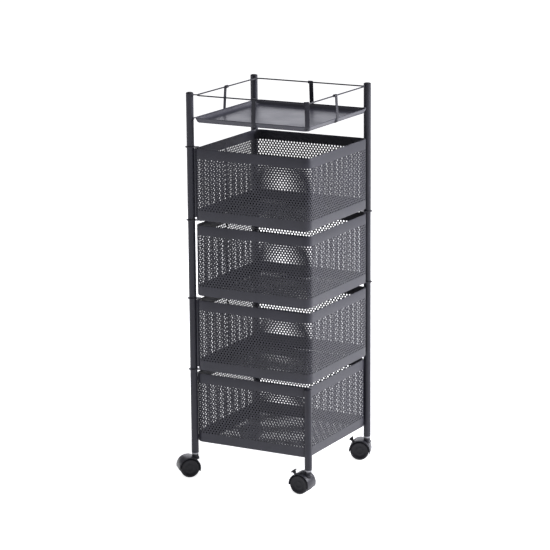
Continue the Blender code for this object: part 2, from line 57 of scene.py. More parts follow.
# Sheet metal of the baskets, metres. A half step is half of the pitch between two holes in a row.
SHEET = 0.0010
BASKET_CORNER = 0.020
FOOT_BEND = 0.004
FLANGE = 0.014
HEM_RADIUS = 0.0012
HEM_DEPTH = 0.009
HOLE_RADIUS = 0.0024
HOLE_PITCH = 0.0085
ROW_PITCH = 0.0061
ROWS = 22
FIRST_ROW = 0.0248
SIDE_CELLS = 34
CORNER_CELLS = 4
SIDE_STEPS = 2 * SIDE_CELLS
TURN_STEPS = 2 * CORNER_CELLS
LAP = 4 * (SIDE_STEPS + TURN_STEPS)
FLOOR_SHEET = 0.0008
FLOOR_CELLS = 33
FLOOR_ROWS = 46
# Half width of the dark filler that paints the shadow in the gap at a swinging basket's corner.
SHADE_FILLER_HALF = 0.005

# Posts and the eyelet plates clamped in them.
TUBE_WALL = 0.0012
TUBE_EDGE = 0.0004
CAP_DOME = 0.0030
PLATE = 0.002
EYE_RADIUS = 0.0135
EYE_HOLE = 0.0055
TONGUE_HALF = 0.008
TONGUE_REACH = 0.034
EYELET_SCREW = 0.0032

# Tray rim, rail strips and their hooks. The rail bends inside the corner hook, so that one is wider.
RIM_FLARE = 0.005
RIM_CURL = 0.0012
STRIP_GAP = 0.0003
STRIP_THICKNESS = 0.0015
STRIP_WIDTH = 0.012
HOOK_RADIUS = 0.0025
CORNER_HOOK_RADIUS = 0.0033
STRIP_SCREW = 0.0030

# Casters: distances from the axle, or along it from the middle of the hood's web.
HOOD_INNER = 0.0262
HOOD_OUTER = 0.0284
HOOD_HALF_WIDTH = 0.0215
WEB_RADIUS = 0.0272
WEB_HALF = 0.004
WHEEL_ROOM = 0.0258
WHEEL_INNER = 0.0047
WHEEL_OUTER = 0.0217
AXLE_ROOM = 0.0034
PIN_ROOM = 0.0043
LEVER_LEAN = math.radians(-128)
LEVER_LENGTH = 0.0205
LEVER_EYE = 0.0052
SLOT_HALF = 0.0024


# ---- materials ---------------------------------------------------------------------------------
DUST_COLOUR = (0.34, 0.34, 0.35)


def node(tree, kind, settings=None, **values):
    """A shader node; values are constants or output sockets for its inputs, by name."""
    made = tree.nodes.new(kind)
    for key, value in (settings or {}).items():
        setattr(made, key, value)
    for key, value in values.items():
        socket = made.inputs[key.replace("_", " ")]
        if isinstance(value, bpy.types.NodeSocket):
            tree.links.new(value, socket)
        else:
            socket.default_value = value
    return made


def mix_colour(tree, factor, first, second):
    """A colour mixed from two colours or colour sockets by a socket's value."""
    mixer = tree.nodes.new("ShaderNodeMix")
    mixer.data_type = "RGBA"
    tree.links.new(factor, mixer.inputs[0])
    for index, colour in ((6, first), (7, second)):
        if isinstance(colour, bpy.types.NodeSocket):
            tree.links.new(colour, mixer.inputs[index])
        else:
            mixer.inputs[index].default_value = (*colour, 1.0)
    return mixer.outputs[2]


def spread(tree, value, low, high, start, end):
    """A value socket mapped from low..high to start..end, clamped."""
    made = node(
        tree, "ShaderNodeMapRange", Value=value, From_Min=low, From_Max=high, To_Min=start, To_Max=end
    )
    return made.outputs["Result"]


def finish(name, colour, pale, roughness, grain, bump, specular, dust=0.0):
    """A procedural finish: mottled colour, uneven gloss, a fine grain in relief, dust on top faces."""
    made = bpy.data.materials.new(name)
    made.use_nodes = True
    tree = made.node_tree
    shader = tree.nodes["Principled BSDF"]
    place = node(tree, "ShaderNodeTexCoord").outputs["Object"]
    broad = node(tree, "ShaderNodeTexNoise", Vector=place, Scale=11.0, Detail=4.0, Roughness=0.6)
    fine = node(tree, "ShaderNodeTexNoise", Vector=place, Scale=grain, Detail=2.0, Roughness=0.6)
    speck = node(tree, "ShaderNodeTexVoronoi", Vector=place, Scale=grain * 0.8)
    tone = mix_colour(tree, spread(tree, broad.outputs[0], 0.35, 0.7, 0.0, 1.0), colour, pale)
    fleck = [min(1.0, channel * 1.9 + 0.01) for channel in colour]
    flecks = spread(tree, speck.outputs["Distance"], 0.05, 0.22, 0.30, 0.0)
    tone = mix_colour(tree, flecks, tone, fleck)
    if dust:
        normal = node(tree, "ShaderNodeNewGeometry").outputs["Normal"]
        level = node(tree, "ShaderNodeSeparateXYZ", Vector=normal).outputs["Z"]
        cover = node(tree, "ShaderNodeMath", {"operation": "MULTIPLY"})
        tree.links.new(spread(tree, level, 0.6, 1.0, 0.0, dust), cover.inputs[0])
        tree.links.new(spread(tree, broad.outputs[0], 0.3, 0.65, 0.4, 1.0), cover.inputs[1])
        tone = mix_colour(tree, cover.outputs[0], tone, DUST_COLOUR)
    tree.links.new(tone, shader.inputs["Base Color"])
    gloss = spread(tree, broad.outputs[0], 0.3, 0.75, roughness - 0.05, roughness + 0.08)
    tree.links.new(gloss, shader.inputs["Roughness"])
    relief = node(tree, "ShaderNodeBump", Strength=bump, Distance=0.0002, Height=fine.outputs[0])
    tree.links.new(relief.outputs[0], shader.inputs["Normal"])
    shader.inputs["Specular IOR Level"].default_value = specular
    return made


def brushed(name, colour, roughness):
    """Zinc plate: bright metal with fine turning marks around a standing axis."""
    made = bpy.data.materials.new(name)
    made.use_nodes = True
    tree = made.node_tree
    shader = tree.nodes["Principled BSDF"]
    place = node(tree, "ShaderNodeTexCoord").outputs["Object"]
    stretch = node(tree, "ShaderNodeMapping", Vector=place, Scale=(60.0, 60.0, 2600.0))
    marks = node(tree, "ShaderNodeTexNoise", Vector=stretch.outputs[0], Scale=1.0, Detail=2.0)
    cloud = node(tree, "ShaderNodeTexNoise", Vector=place, Scale=120.0, Detail=3.0)
    pale = [channel * 1.12 for channel in colour]
    tone = mix_colour(tree, spread(tree, cloud.outputs[0], 0.35, 0.7, 0.0, 1.0), colour, pale)
    tree.links.new(tone, shader.inputs["Base Color"])
    gloss = spread(tree, marks.outputs[0], 0.3, 0.7, roughness - 0.08, roughness + 0.12)
    tree.links.new(gloss, shader.inputs["Roughness"])
    relief = node(tree, "ShaderNodeBump", Strength=0.25, Distance=0.0002, Height=marks.outputs[0])
    tree.links.new(relief.outputs[0], shader.inputs["Normal"])
    shader.inputs["Metallic"].default_value = 1.0
    return made


POST = finish(
    "post_powder_coat", (0.021, 0.021, 0.029), (0.029, 0.029, 0.040),
    roughness=0.40, grain=900, bump=0.22, specular=0.30, dust=0.02,
)
MESH = finish(
    "basket_powder_coat", (0.023, 0.023, 0.032), (0.033, 0.033, 0.045),
    roughness=0.38, grain=900, bump=0.22, specular=0.35, dust=0.02,
)
TRAY = finish(
    "tray_powder_coat", (0.034, 0.034, 0.046), (0.046, 0.046, 0.062),
    roughness=0.36, grain=800, bump=0.25, specular=0.50, dust=0.04,
)
WIRE = finish(
    "rail_powder_coat", (0.016, 0.016, 0.022), (0.024, 0.024, 0.033),
    roughness=0.38, grain=900, bump=0.18, specular=0.30, dust=0.02,
)
EYELET = finish(
    "eyelet_powder_coat", (0.021, 0.021, 0.028), (0.032, 0.032, 0.042),
    roughness=0.40, grain=900, bump=0.20, specular=0.35,
)
CAP = finish(
    "cap_plastic", (0.010, 0.010, 0.013), (0.016, 0.016, 0.020),
    roughness=0.46, grain=1100, bump=0.20, specular=0.30, dust=0.02,
)
HOOD = finish(
    "hood_nylon", (0.018, 0.018, 0.024), (0.026, 0.026, 0.034),
    roughness=0.36, grain=1300, bump=0.15, specular=0.38, dust=0.04,
)
WHEEL = finish(
    "wheel_nylon", (0.008, 0.008, 0.011), (0.014, 0.014, 0.018),
    roughness=0.46, grain=1300, bump=0.20, specular=0.25, dust=0.02,
)
LEVER = finish(
    "lever_nylon", (0.008, 0.008, 0.010), (0.014, 0.014, 0.017),
    roughness=0.42, grain=1300, bump=0.20, specular=0.25, dust=0.02,
)
ZINC = brushed("zinc_plate", (0.30, 0.30, 0.32), 0.34)
SLOT_FINISH = {
    "post_paint": POST,
    "basket_paint": MESH,
    "tray_paint": TRAY,
    "rail_paint": WIRE,
    "eyelet_paint": EYELET,
    "zinc_steel": ZINC,
    "cap_plastic": CAP,
    "hood_nylon": HOOD,
    "wheel_nylon": WHEEL,
    "lever_nylon": LEVER,
}


# ---- mesh building -----------------------------------------------------------------------------
class Shape:
    """Vertices and faces of one or more closed bodies."""

    def __init__(self):
        self.points = []
        self.faces = []

    def add(self, points, faces):
        start = len(self.points)
        self.points += [Vector(point) for point in points]
        self.faces += [[start + index for index in face] for face in faces]
        return self

    def skin(self, rings, loop=False):
        """A body over rings of equal length, with capped ends or, with loop, joined ends."""
        count = len(rings[0])
        faces = []
        spans = len(rings) if loop else len(rings) - 1
        for level in range(spans):
            low = level * count
            high = ((level + 1) % len(rings)) * count
            for index in range(count):
                following = (index + 1) % count
                faces.append((low + index, low + following, high + following, high + index))
        if not loop:
            faces.append(list(range(count))[::-1])
            faces.append(list(range((len(rings) - 1) * count, len(rings) * count)))
        return self.add([point for ring in rings for point in ring], faces)

    def moved(self, matrix):
        self.points = [matrix @ point for point in self.points]
        return self

    def join(self, other):
        return self.add(other.points, other.faces)


def mesh_object(name, shape, finish_made, sharp=32):
    """A smooth-shaded object at the world's origin, faces outward."""
    mesh = bpy.data.meshes.new(name)
    mesh.from_pydata([tuple(point) for point in shape.points], [], shape.faces)
    work = bmesh.new()
    work.from_mesh(mesh)
    bmesh.ops.recalc_face_normals(work, faces=work.faces)
    work.to_mesh(mesh)
    work.free()
    mesh.materials.append(finish_made)
    mesh.shade_smooth()
    mesh.set_sharp_from_angle(angle=math.radians(sharp))
    made = bpy.data.objects.new(name, mesh)
    bpy.context.scene.collection.objects.link(made)
    return made


def attach(made, body, slot, *replaced):
    """The object rides on a body and may stand for CAD nodes; the slot is not used."""
    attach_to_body(made, body)
    if replaced:
        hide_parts(*replaced)
    return made


def build(name, shape, body, slot, *replaced, sharp=32):
    """A new piece from a shape."""
    made = mesh_object(name, shape, SLOT_FINISH[slot], sharp)
    return attach(made, body, slot, *replaced)


def carved(name, shape, cuts, finish_made, sharp=32):
    """An object with Boolean steps applied; cuts lists (operation, shape)."""
    made = mesh_object(name, shape, finish_made, sharp)
    for operation, cutter in cuts:
        tool = mesh_object(f"{name}_cut", cutter, finish_made, sharp)
        step = made.modifiers.new("cut", "BOOLEAN")
        step.operation = operation
        step.solver = "EXACT"
        step.object = tool
        bpy.context.view_layer.update()
        graph = bpy.context.evaluated_depsgraph_get()
        result = bpy.data.meshes.new_from_object(made.evaluated_get(graph))
        made.modifiers.clear()
        made.data = result
        bpy.data.objects.remove(tool, do_unlink=True)
    made.data.shade_smooth()
    made.data.set_sharp_from_angle(angle=math.radians(sharp))
    return made


def circle(radius, height=0.0, steps=48):
    """Points of a level circle around the Z axis."""
    turns = [math.tau * step / steps for step in range(steps)]
    return [Vector((radius * math.cos(turn), radius * math.sin(turn), height)) for turn in turns]


def lathe(profile, steps=48, loop=False):
    """A body turned around Z; profile lists (radius, height)."""
    tiny = 0.00002
    return Shape().skin([circle(max(radius, tiny), height, steps) for radius, height in profile], loop)


def arc(centre, radius, start, end, steps):
    """Points (u, v) on an arc, angles in degrees."""
    points = []
    for step in range(steps + 1):
        turn = math.radians(start + (end - start) * step / steps)
        points.append((centre[0] + radius * math.cos(turn), centre[1] + radius * math.sin(turn)))
    return points


def round_rect(width, height, radius, steps=3):
    """A rounded rectangle around (0, 0), anticlockwise."""
    points = []
    for quarter, (side_u, side_v) in enumerate(((1, 1), (-1, 1), (-1, -1), (1, -1))):
        hub = (side_u * (width / 2 - radius), side_v * (height / 2 - radius))
        points += arc(hub, radius, 90 * quarter, 90 * quarter + 90, steps)
    return points


def sweep(path, section, up, loop=False):
    """A section of (across, upwards) points carried along a flat path whose plane is square to up."""
    rings = []
    for index, point in enumerate(path):
        if loop:
            along = path[(index + 1) % len(path)] - path[index - 1]
        else:
            along = path[min(index + 1, len(path) - 1)] - path[max(index - 1, 0)]
        across = along.normalized().cross(up)
        rings.append([point + across * u + up * v for u, v in section])
    return Shape().skin(rings, loop)


def slab(low, high, radius=0.0006):
    """A block between two corners, with eased edges."""
    low = Vector(low)
    high = Vector(high)
    middle = (low + high) / 2
    rings = []
    for end in (0, 1):
        for step in range(4):
            turn = math.radians(30 * (step if end == 0 else 3 - step))
            inset = radius * (1 - math.sin(turn))
            lift = radius * (1 - math.cos(turn))
            height = low.z + lift if end == 0 else high.z - lift
            outline = round_rect(high.x - low.x - 2 * inset, high.y - low.y - 2 * inset, radius, 2)
            rings.append([Vector((middle.x + u, middle.y + v, height)) for u, v in outline])
    return Shape().skin(rings)


def square_path(half, corner, z, centre, steps=10):
    """Points around a square with round corners."""
    points = []
    for quarter, (side_x, side_y) in enumerate(((1, 1), (-1, 1), (-1, -1), (1, -1))):
        hub = (centre.x + side_x * (half - corner), centre.y + side_y * (half - corner))
        turn = arc(hub, corner, 90 * quarter, 90 * quarter + 90, steps)
        points += [Vector((u, v, z)) for u, v in turn]
    return points


def facing(origin, direction):
    """A frame at origin whose +X looks along a level direction."""
    return Matrix.Translation(origin) @ Matrix.Rotation(math.atan2(direction.y, direction.x), 4, "Z")


def middle_of(name):
    low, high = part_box(name)
    return (low + high) / 2


def screw_head(radius, matrix):
    """A pan-head screw with a hexagonal socket, standing on the matrix's XY plane."""
    steps = 24
    rings = [circle(radius, 0.0, steps), circle(radius, radius * 0.22, steps)]
    for lift, shrink in ((0.36, 0.94), (0.48, 0.80), (0.54, 0.62)):
        rings.append(circle(radius * shrink, radius * lift, steps))
    for height in (0.54, 0.16):
        ring = []
        for step in range(steps):
            turn = math.tau * step / steps
            reach = 0.42 * radius / math.cos((turn % (math.pi / 3)) - math.pi / 6)
            ring.append(Vector((reach * math.cos(turn), reach * math.sin(turn), radius * height)))
        rings.append(ring)
    return Shape().skin(rings).moved(matrix)


# ---- places from the frame ---------------------------------------------------------------------
POST_AXIS = {}
for corner in CORNERS:
    first = f"{corner}_post_tube" if corner == "front_right" else f"{corner}_post_tube_1"
    spot = middle_of(first)
    POST_AXIS[corner] = Vector((spot.x, spot.y, 0))
tube_low, tube_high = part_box("front_right_post_tube")
TUBE_RADIUS = (tube_high.x - tube_low.x) / 2
basket_low, basket_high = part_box("bottom_basket")
HALF = (basket_high.x - basket_low.x) / 2
swing_low, swing_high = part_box("top_basket")
SWING_CENTRE = Vector((swing_high.x - HALF, swing_low.y + HALF, 0))
POST_CENTRE = (POST_AXIS["front_left"] + POST_AXIS["back_right"]) / 2
JOINTS = {joint["name"]: joint for joint in frame["joints"]}


def corner_way(corner, half, radius, centre):
    """The hub of a shell's round corner, the level direction to that post, and the way to its tube."""
    axis = POST_AXIS[corner]
    side_x = math.copysign(1, axis.x - centre.x)
    side_y = math.copysign(1, axis.y - centre.y)
    hub = centre + Vector((side_x, side_y, 0)) * (half - radius)
    away = axis - hub
    return hub, away.normalized(), away.length - TUBE_RADIUS - 0.0002


# ---- posts -------------------------------------------------------------------------------------
def build_tube(name):
    """A tube length with lightly broken ends."""
    low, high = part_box(name)
    axis = Vector(((low.x + high.x) / 2, (low.y + high.y) / 2, 0))
    bore = TUBE_RADIUS - TUBE_WALL
    profile = [
        (TUBE_RADIUS - TUBE_EDGE, low.z),
        (TUBE_RADIUS, low.z + TUBE_EDGE),
        (TUBE_RADIUS, high.z - TUBE_EDGE),
        (TUBE_RADIUS - TUBE_EDGE, high.z),
        (bore, high.z),
        (bore, low.z),
    ]
    shape = lathe(profile, 48, True).moved(Matrix.Translation(axis))
    build(f"{name}_fine", shape, "cart_frame", "post_paint", name)


def build_posts():
    """Tubes, domed caps, and the short post's closed end."""
    for corner in TALL_POSTS:
        for index in range(TUBE_COUNT[corner]):
            build_tube(f"{corner}_post_tube_{index + 1}")
        name = f"{corner}_post_cap"
        low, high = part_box(name)
        seat = high.z - CAP_DOME
        profile = [(0, high.z)]
        for degrees in range(8, 91, 9):
            turn = math.radians(degrees)
            profile.append((TUBE_RADIUS * math.sin(turn), seat + CAP_DOME * math.cos(turn)))
        profile += [(TUBE_RADIUS, seat - 0.0001), (0.0080, seat - 0.0001), (0.0078, low.z), (0, low.z)]
        shape = lathe(profile, 48).moved(Matrix.Translation(POST_AXIS[corner]))
        build(f"{name}_fine", shape, "cart_frame", "cap_plastic", name)
    name = "front_right_post_tube"
    low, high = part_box(name)
    crown = 0.0022
    profile = [(0, high.z)]
    profile += [(TUBE_RADIUS - crown + u, high.z - crown + v) for v, u in arc((0, 0), crown, 0, 90, 6)]
    bore = TUBE_RADIUS - TUBE_WALL
    roof = high.z - 0.003
    profile += [(TUBE_RADIUS, low.z + TUBE_EDGE), (TUBE_RADIUS - TUBE_EDGE, low.z), (bore, low.z)]
    profile += [(bore, roof), (0, roof)]
    shape = lathe(profile, 48).moved(Matrix.Translation(POST_AXIS["front_right"]))
    build(f"{name}_fine", shape, "cart_frame", "post_paint", name)


# ---- baskets -----------------------------------------------------------------------------------
def lap_points(steps, insets, centre):
    """Level positions on the basket's outline, for arrays of half steps and insets from its outside."""
    side = steps % (SIDE_STEPS + TURN_STEPS)
    quarter = (steps // (SIDE_STEPS + TURN_STEPS)).astype(int) % 4
    flat = HALF - BASKET_CORNER
    run = np.minimum(side, SIDE_STEPS) / SIDE_STEPS * 2 * flat - flat
    turn = np.maximum(side - SIDE_STEPS, 0) / TURN_STEPS * math.pi / 2
    reach = BASKET_CORNER - insets
    u = flat + reach * np.cos(turn)
    v = np.where(turn > 0, flat + reach * np.sin(turn), run)
    angle = quarter * math.pi / 2
    x = u * np.cos(angle) - v * np.sin(angle)
    y = u * np.sin(angle) + v * np.cos(angle)
    return x + centre.x, y + centre.y


def perforated_cell(corners, holes, index):
    """Faces between a cell's outline (right top, mid top, left top, left foot, mid foot, right foot)
    and the eight points of its hole."""
    rt, mt, lt, lf, mf, rf = corners
    h = [holes + 8 * index + k for k in range(8)]
    return [
        (h[1], rt, mt, h[2]),
        (h[2], mt, lt, h[3]),
        (h[3], lt, h[4]),
        (h[4], lt, lf),
        (h[4], lf, h[5]),
        (h[5], lf, mf, h[6]),
        (h[6], mf, rf, h[7]),
        (h[7], rf, h[0]),
        (h[0], rf, rt),
        (h[0], rt, h[1]),
    ]


def double_sided(outer, inner, faces, rims):
    """A closed sheet from two layers of points, the faces of one layer, and its edge loops."""
    count = len(outer)
    shape = Shape()
    shape.points = [Vector(point) for point in outer] + [Vector(point) for point in inner]
    shape.faces = [list(face) for face in faces]
    shape.faces += [[count + index for index in reversed(face)] for face in faces]
    for rim in rims:
        for first, second in zip(rim, rim[1:] + rim[:1]):
            shape.faces.append([second, first, count + first, count + second])
    return shape


def basket_wall(bottom, top, centre, seam):
    """The wall as one bent sheet: a floor flange, a tight bend, perforated rows and a folded hem."""
    profile = [((FLANGE, 0.0), (FLANGE, SHEET))]
    for degrees in (0, 22.5, 45, 67.5, 90):
        turn = math.radians(degrees)
        outer = (FOOT_BEND * (1 - math.sin(turn)), FOOT_BEND * (1 - math.cos(turn)))
        tight = FOOT_BEND - SHEET
        inner = (FOOT_BEND - tight * math.sin(turn), FOOT_BEND - tight * math.cos(turn))
        profile.append((outer, inner))
    first_line = len(profile)
    for row in range(ROWS + 1):
        z = FIRST_ROW + row * ROW_PITCH
        profile.append(((0.0, z), (SHEET, z)))
    fold = top - bottom - HEM_RADIUS
    hollow = HEM_RADIUS - SHEET
    for degrees in (180, 150, 120, 90, 60, 30, 0):
        turn = math.radians(degrees)
        outer = (HEM_RADIUS + HEM_RADIUS * math.cos(turn), fold + HEM_RADIUS * math.sin(turn))
        inner = (HEM_RADIUS + hollow * math.cos(turn), fold + hollow * math.sin(turn))
        profile.append((outer, inner))
    fold_end = top - bottom - HEM_DEPTH
    profile.append(((2 * HEM_RADIUS, fold_end), (2 * HEM_RADIUS - SHEET, fold_end)))

    steps = np.arange(LAP, dtype=float)
    layers = []
    for layer in (0, 1):
        rows = []
        for pair in profile:
            inset, z = pair[layer]
            x, y = lap_points(steps, np.full(LAP, inset), centre)
            rows.append(np.stack([x, y, np.full(LAP, bottom + z)], 1))
        layers.append(np.concatenate(rows))

    hole_steps = []
    faces = []
    rims = []
    holes = len(layers[0])
    turns = np.arange(8) * math.pi / 4
    lines = len(profile)
    for line in range(lines - 1):
        low = line * LAP
        high = low + LAP
        row = line - first_line
        if not 0 <= row < ROWS:
            for index in range(LAP):
                following = (index + 1) % LAP
                faces.append((low + index, low + following, high + following, high + index))
            continue
        for cell in range(LAP // 2):
            start = (2 * cell + row % 2) % LAP
            mid = (start + 1) % LAP
            end = (start + 2) % LAP
            outline = (high + end, high + mid, high + start, low + start, low + mid, low + end)
            if seam is not None and abs(start + 1 - seam) < 1:
                faces.append(outline)
                continue
            faces += perforated_cell(outline, holes, len(hole_steps))
            rims.append([holes + 8 * len(hole_steps) + k for k in range(8)])
            hole_steps.append((start + 1, FIRST_ROW + (row + 0.5) * ROW_PITCH))
    spots = np.array(hole_steps)
    reach = HOLE_RADIUS / (HOLE_PITCH / 2)
    u = (spots[:, :1] + reach * np.cos(turns)).ravel() % LAP
    z = (spots[:, 1:] + HOLE_RADIUS * np.sin(turns)).ravel() + bottom
    for layer, inset in ((0, 0.0), (1, SHEET)):
        x, y = lap_points(u, np.full(len(u), inset), centre)
        layers[layer] = np.concatenate([layers[layer], np.stack([x, y, z], 1)])
    rims.append(list(range(LAP)))
    rims.append(list(range((lines - 1) * LAP, lines * LAP))[::-1])
    return double_sided(layers[0], layers[1], faces, rims)


def basket_floor(bottom, centre):
    """The perforated floor panel, lying on the wall's flange, with a plain border."""
    columns = 2 * FLOOR_CELLS
    rows = FLOOR_ROWS
    half_pitch = HOLE_PITCH / 2
    points = []
    for line in range(rows + 1):
        for column in range(columns + 1):
            points.append(((column - columns / 2) * half_pitch, (line - rows / 2) * ROW_PITCH))
    faces = []
    rims = []
    spots = []
    holes = len(points)
    width = columns + 1
    for row in range(rows):
        low = row * width
        high = low + width
        shift = row % 2
        if shift:
            for column in (0, columns - 1):
                faces.append((low + column, low + column + 1, high + column + 1, high + column))
        for cell in range((columns - shift) // 2):
            start = 2 * cell + shift
            outline = (high + start + 2, high + start + 1, high + start, low + start, low + start + 1)
            faces += perforated_cell((*outline, low + start + 2), holes, len(spots))
            rims.append([holes + 8 * len(spots) + k for k in range(8)])
            spots.append(((start + 1 - columns / 2) * half_pitch, (row + 0.5 - rows / 2) * ROW_PITCH))
    for u, v in spots:
        for k in range(8):
            turn = k * math.pi / 4
            points.append((u + HOLE_RADIUS * math.cos(turn), v + HOLE_RADIUS * math.sin(turn)))
    edge = list(range(columns))
    edge += [line * width + columns for line in range(rows)]
    edge += [rows * width + column for column in range(columns, 0, -1)]
    edge += [line * width for line in range(rows, 0, -1)]
    half = HALF - FOOT_BEND - 0.0004
    round_corner = BASKET_CORNER - FOOT_BEND
    outline = len(points)
    for index in edge:
        u, v = points[index]
        stretch = half / max(abs(u), abs(v))
        u, v = u * stretch, v * stretch
        over_u = abs(u) - (half - round_corner)
        over_v = abs(v) - (half - round_corner)
        if over_u > 0 and over_v > 0:
            shrink = round_corner / math.hypot(over_u, over_v)
            u = math.copysign(half - round_corner + over_u * shrink, u)
            v = math.copysign(half - round_corner + over_v * shrink, v)
        points.append((u, v))
    count = len(edge)
    for index in range(count):
        following = (index + 1) % count
        faces.append((edge[index], outline + index, outline + following, edge[following]))
    rims.append([outline + index for index in range(count)][::-1])
    z = bottom + SHEET + 0.0001
    upper = [(centre.x + u, centre.y + v, z + FLOOR_SHEET) for u, v in points]
    lower = [(centre.x + u, centre.y + v, z) for u, v in points]
    return double_sided(upper, lower, faces, rims)


def build_shade_filler(name, body, corner):
    """Painted shade: an upright dark filler between a swinging basket's corner and the tube that it turns around,
    standing in for the shadow in that gap rather than a real part.
    """
    low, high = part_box(name)
    hub, away, reach = corner_way(corner, HALF, BASKET_CORNER, SWING_CENTRE)
    start = (BASKET_CORNER - 0.0004, -SHADE_FILLER_HALF, low.z + 0.006)
    strap = slab(start, (reach - 0.0001, SHADE_FILLER_HALF, high.z - 0.001), 0.0008)
    build(f"{name}_shade_filler", strap.moved(facing(hub, away)), body, "basket_paint")


def build_basket(name, body, centre, seam):
    """The wall sheet, the floor panel and, on a seamed basket, the strap over the sheet's ends."""
    low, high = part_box(name)
    build(f"{name}_wall", basket_wall(low.z, high.z, centre, seam), body, "basket_paint", name, sharp=40)
    build(f"{name}_floor", basket_floor(low.z, centre), body, "basket_paint", sharp=40)
    if seam is None:
        return
    inside = centre.x - HALF + SHEET + 0.0001
    strap = slab(
        (inside, centre.y - 0.0038, low.z + FOOT_BEND + 0.001),
        (inside + 0.0008, centre.y + 0.0038, high.z - HEM_DEPTH - 0.0008),
        0.0003,
    )
    build(f"{name}_seam_strap", strap, body, "basket_paint")


def build_baskets():
    seam = 2 * (SIDE_STEPS + TURN_STEPS) + SIDE_STEPS // 2
    for name, corner in SWING_CORNER.items():
        build_basket(name, f"{name}_swing_body", SWING_CENTRE, seam)
        # Painted shade: a dark filler closes the shadowed gap between the basket's corner and its post.
        build_shade_filler(name, f"{name}_swing_body", corner)
    build_basket("bottom_basket", "cart_frame", POST_CENTRE, None)
    low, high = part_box("bottom_basket")
    shape = Shape()
    for corner in CORNERS:
        hub, away, reach = corner_way(corner, HALF, BASKET_CORNER, POST_CENTRE)
        for foot in (low.z + 0.008, high.z - 0.020):
            pad = slab((BASKET_CORNER - 0.0003, -0.004, foot), (reach + 0.0008, 0.004, foot + 0.010))
            shape.join(pad.moved(facing(hub, away)))
    build("bottom_basket_weld_pads", shape, "cart_frame", "basket_paint")


# ---- eyelets -----------------------------------------------------------------------------------
def eyelet_ring(reach, inset, z):
    """The outline of an eye with its tongue towards +X."""
    radius = EYE_RADIUS - inset
    half = TONGUE_HALF - inset
    end = reach - inset
    ease = 0.003
    meet = math.degrees(math.asin(half / radius))
    points = arc((end - ease, half - ease), ease, 0, 90, 4)
    points += arc((0, 0), radius, meet, 360 - meet, 40)
    points += arc((end - ease, -half + ease), ease, 270, 360, 4)
    return [Vector((u, v, z)) for u, v in points]


def eyelet(reach, low, high):
    """A plate with an eye, its edges lightly broken."""
    edge = 0.0003
    rings = [
        eyelet_ring(reach, edge, low),
        eyelet_ring(reach, 0, low + edge),
        eyelet_ring(reach, 0, high - edge),
        eyelet_ring(reach, edge, high),
    ]
    for z, inset in ((high, 0), (high - edge, edge), (low + edge, edge), (low, 0)):
        ring = []
        for point in rings[0]:
            away = Vector((point.x, point.y, 0)).normalized()
            ring.append(away * (EYE_HOLE - inset + edge) + UP * z)
        rings.append(ring)
    return Shape().skin(rings, True)


def build_eyelets():
    for name, corner in SWING_CORNER.items():
        body = f"{name}_swing_body"
        axis = POST_AXIS[corner]
        hub, away, _ = corner_way(corner, HALF, BASKET_CORNER, SWING_CENTRE)
        inward = facing(axis, -away)
        wall = (axis - hub).length - BASKET_CORNER
        node_name = f"{name}_upper_eyelet"
        low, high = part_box(node_name)
        flange = wall + 2 * HEM_RADIUS + 0.0026
        end = flange + PLATE
        shape = eyelet(end, high.z - PLATE, high.z)
        skirt = slab((flange, -TONGUE_HALF, low.z), (end, TONGUE_HALF, high.z - PLATE + 0.0004))
        shape.join(skirt).moved(inward)
        seat = Matrix.Translation((end, 0, high.z - 0.012))
        screw = screw_head(EYELET_SCREW, inward @ seat @ Matrix.Rotation(math.pi / 2, 4, "Y"))
        build(f"{node_name}_fine", shape, body, "eyelet_paint", node_name)
        build(f"{node_name}_screw", screw, body, "eyelet_paint")
        node_name = f"{name}_lower_eyelet"
        low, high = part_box(node_name)
        shape = eyelet(TONGUE_REACH, low.z, high.z).moved(inward)
        build(f"{node_name}_fine", shape, body, "eyelet_paint", node_name)
        under = Matrix.Translation((0.024, 0, low.z)) @ Matrix.Rotation(math.pi, 4, "X")
        rivet = screw_head(EYELET_SCREW, inward @ under)
        build(f"{node_name}_rivet", rivet, body, "eyelet_paint")


# ---- tray and rail -----------------------------------------------------------------------------
def build_tray():
    """The pressed tray with its flared rim and rolled edge, and a bent lug to each tall post."""
    low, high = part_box("tray")
    floor = low.z + SHEET
    top = high.z
    curl = RIM_CURL
    profile = [(0.0130, floor - SHEET), (0.0075, floor - SHEET), (0.0060, floor - 0.0004)]
    profile += [(RIM_FLARE, floor + 0.0006), (0.0004, top - 0.0030)]
    profile += [(curl + u, top - curl + v) for u, v in arc((0, 0), curl, 190, -10, 8)]
    profile += [(0.0022, top - 0.0036), (0.0062, floor + 0.0012), (0.0072, floor + 0.0003)]
    profile += [(0.0090, floor), (0.0130, floor)]
    rings = [square_path(HALF - inset, BASKET_CORNER - inset, z, SWING_CENTRE) for inset, z in profile]
    build("tray_fine", Shape().skin(rings), "cart_frame", "tray_paint", "tray", sharp=50)
    shape = Shape()
    for corner in TALL_POSTS:
        hub, away, reach = corner_way(corner, HALF, BASKET_CORNER, SWING_CENTRE)
        start = BASKET_CORNER - 0.0022
        path = [
            Vector((start, 0, top - 0.0035)),
            Vector((start + 0.0012, 0, top - 0.0016)),
            Vector((start + 0.0030, 0, top - 0.0010)),
            Vector((reach - 0.0014, 0, top - 0.0010)),
            Vector((reach - 0.0004, 0, top - 0.0018)),
            Vector((reach - 0.0001, 0, top - 0.0070)),
        ]
        strap = sweep(path, round_rect(0.0014, 0.010, 0.0005), Vector((0, 1, 0)))
        shape.join(strap.moved(facing(hub, away)))
    build("tray_post_lugs", shape, "cart_frame", "tray_paint")


